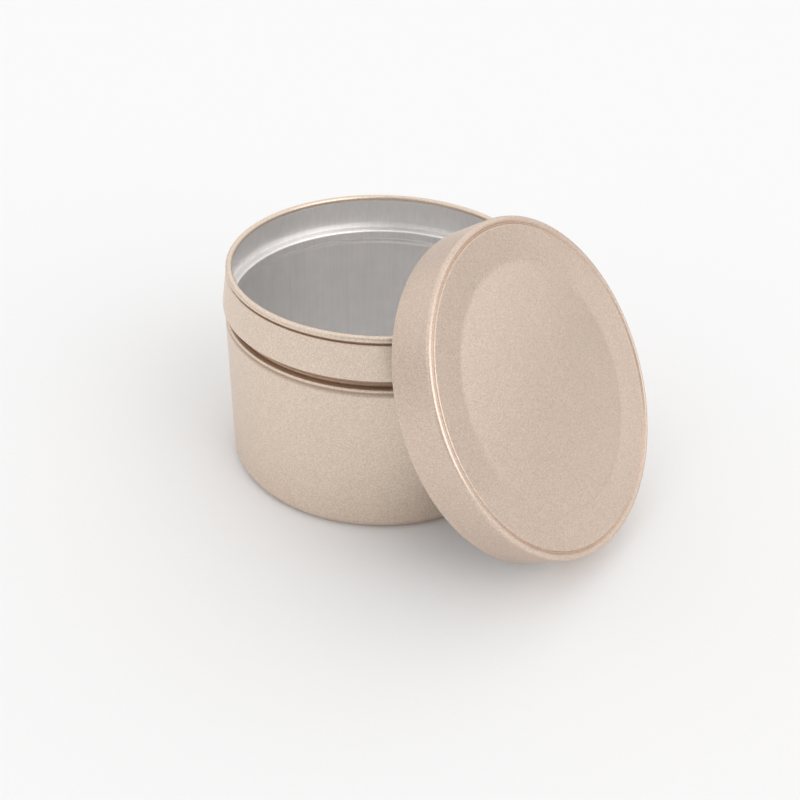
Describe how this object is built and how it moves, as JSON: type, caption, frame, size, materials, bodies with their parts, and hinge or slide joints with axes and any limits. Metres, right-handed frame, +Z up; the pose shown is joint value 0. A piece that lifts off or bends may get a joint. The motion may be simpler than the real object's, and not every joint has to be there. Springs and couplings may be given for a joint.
{
  "type": "candle tin",
  "caption": "Round seamless metal candle tin with a necked rolled rim, and its shallow slip lid leaning against it, face outwards",
  "frame": {"origin": "middle of the tin's base, on the surface that the tin stands on", "axes": "+Z up along the tin's axis; the lid leans on the tin's +X, -Y side; +Y points away from the front"},
  "size_m": [0.1072, 0.1074, 0.0724],
  "materials": {
    "coated_tin": "satin champagne coat outside, bare bright tinplate inside",
    "coated_lid": "satin champagne coat outside, bare bright tinplate inside"
  },
  "bodies": {
    "tin": {"tin_body": "coated_tin"},
    "slip_lid": {"lid": "coated_lid"}
  },
  "joints": [
    {"name": "lid_lift", "type": "slide", "parent": "tin", "child": "slip_lid", "axis": [0, 0, 1], "range_m": [0, 0.08]}
  ]
}
